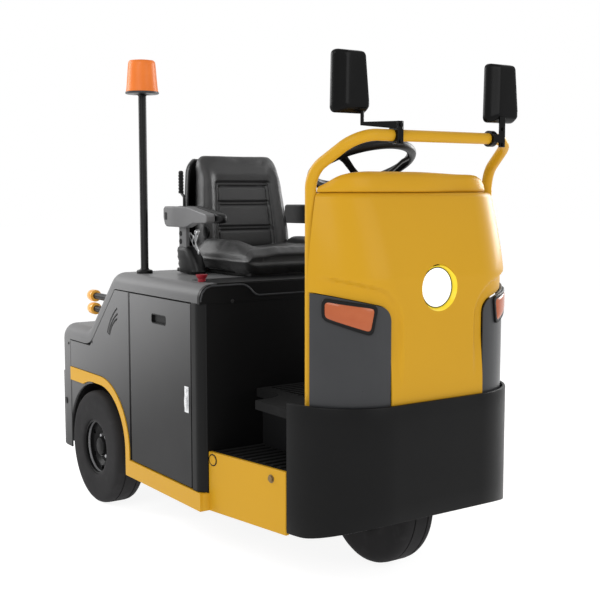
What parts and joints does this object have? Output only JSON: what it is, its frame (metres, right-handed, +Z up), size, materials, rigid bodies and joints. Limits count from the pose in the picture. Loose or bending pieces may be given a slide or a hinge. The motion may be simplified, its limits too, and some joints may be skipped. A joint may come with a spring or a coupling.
{
  "type": "airport tow tractor",
  "caption": "Three-wheel seated electric tow tractor with a yellow front cowl, hoop rail, mirrors, beacon, opening side doors and a rear tow jaw.",
  "frame": {"origin": "on the ground under the middle of the outline", "axes": "+X forward, +Y to the driver's left, +Z up"},
  "size_m": [1.8095, 1.002, 1.652],
  "materials": {
    "yellow_paint": "gloss yellow paint",
    "grey_paint": "satin charcoal paint",
    "frame_paint": "satin black paint",
    "black_plastic": "fine grain",
    "charcoal_plastic": "fine grain",
    "floor_rubber": "ribbed",
    "tyre": "matte",
    "rim": "grey paint",
    "seat_cover": "black leathercloth",
    "lamp_glass": "clear lens over a bright bowl",
    "amber_lens": "amber lens",
    "beacon_lens": "orange lens",
    "red_plastic": "gloss",
    "mirror": "silvered glass"
  },
  "bodies": {
    "chassis": {"chassis_frame": "frame_paint", "battery": "frame_paint", "rear_axle": "frame_paint", "rear_cover": "grey_paint", "quarter_panel_right": "grey_paint", "quarter_panel_left": "grey_paint", "side_trims": "yellow_paint", "seat_box_front": "black_plastic", "step_panels": "yellow_paint", "step_wells": "floor_rubber", "floor_platform": "floor_rubber", "pedals": "black_plastic", "front_bumper": "black_plastic", "nose_cowl": "yellow_paint", "corner_panels": "charcoal_plastic", "cowl_cap": "yellow_paint", "dashboard": "black_plastic", "steering_column": "black_plastic", "headlight": "lamp_glass", "indicators": "amber_lens", "handrail": "yellow_paint", "mirror_right": "black_plastic", "mirror_left": "black_plastic", "mirror_glasses": "mirror", "seat_base": "frame_paint", "seat_cushion": "seat_cover", "seat_back": "seat_cover", "armrest_right": "charcoal_plastic", "armrest_left": "black_plastic", "seat_lever": "black_plastic", "beacon_pole": "frame_paint", "beacon": "beacon_lens", "stop_button": "red_plastic", "rear_lamps": "amber_lens", "tow_hitch": "frame_paint"},
    "door_right": {"door_right": "grey_paint"},
    "door_left": {"door_left": "grey_paint"},
    "steer_fork": {"steer_fork": "frame_paint"},
    "front_wheel": {"front_tyre": "tyre", "front_rim": "rim"},
    "rear_wheel_right": {"rear_tyre_right": "tyre", "rear_rim_right": "rim"},
    "rear_wheel_left": {"rear_tyre_left": "tyre", "rear_rim_left": "rim"},
    "steering_wheel": {"steering_wheel": "black_plastic"}
  },
  "joints": [
    {"name": "rear_right_spin", "type": "hinge", "parent": "chassis", "child": "rear_wheel_right", "pos_m": [-0.5055, -0.442, 0.216], "axis": [0, 1, 0], "continuous": true},
    {"name": "rear_left_spin", "type": "hinge", "parent": "chassis", "child": "rear_wheel_left", "pos_m": [-0.5055, 0.442, 0.216], "axis": [0, 1, 0], "continuous": true},
    {"name": "steer", "type": "hinge", "parent": "chassis", "child": "steer_fork", "pos_m": [0.6085, 0, 0.3], "axis": [0, 0, 1], "range_deg": [-75, 75]},
    {"name": "front_spin", "type": "hinge", "parent": "steer_fork", "child": "front_wheel", "pos_m": [0.6085, 0, 0.216], "axis": [0, 1, 0], "continuous": true},
    {"name": "steering_wheel_turn", "type": "hinge", "parent": "chassis", "child": "steering_wheel", "pos_m": [0.5085, 0, 1.276], "axis": [-0.3843, 0, 0.9232], "range_deg": [-450, 450]},
    {"name": "door_right_hinge", "type": "hinge", "parent": "chassis", "child": "door_right", "pos_m": [-0.179, -0.4845, 0.5], "axis": [0, 0, -1], "range_deg": [0, 95]},
    {"name": "door_left_hinge", "type": "hinge", "parent": "chassis", "child": "door_left", "pos_m": [-0.179, 0.4845, 0.5], "axis": [0, 0, 1], "range_deg": [0, 95]}
  ],
  "couplings": [
    {"joint": "steering_wheel_turn", "follows": "steer", "ratio": 6}
  ]
}
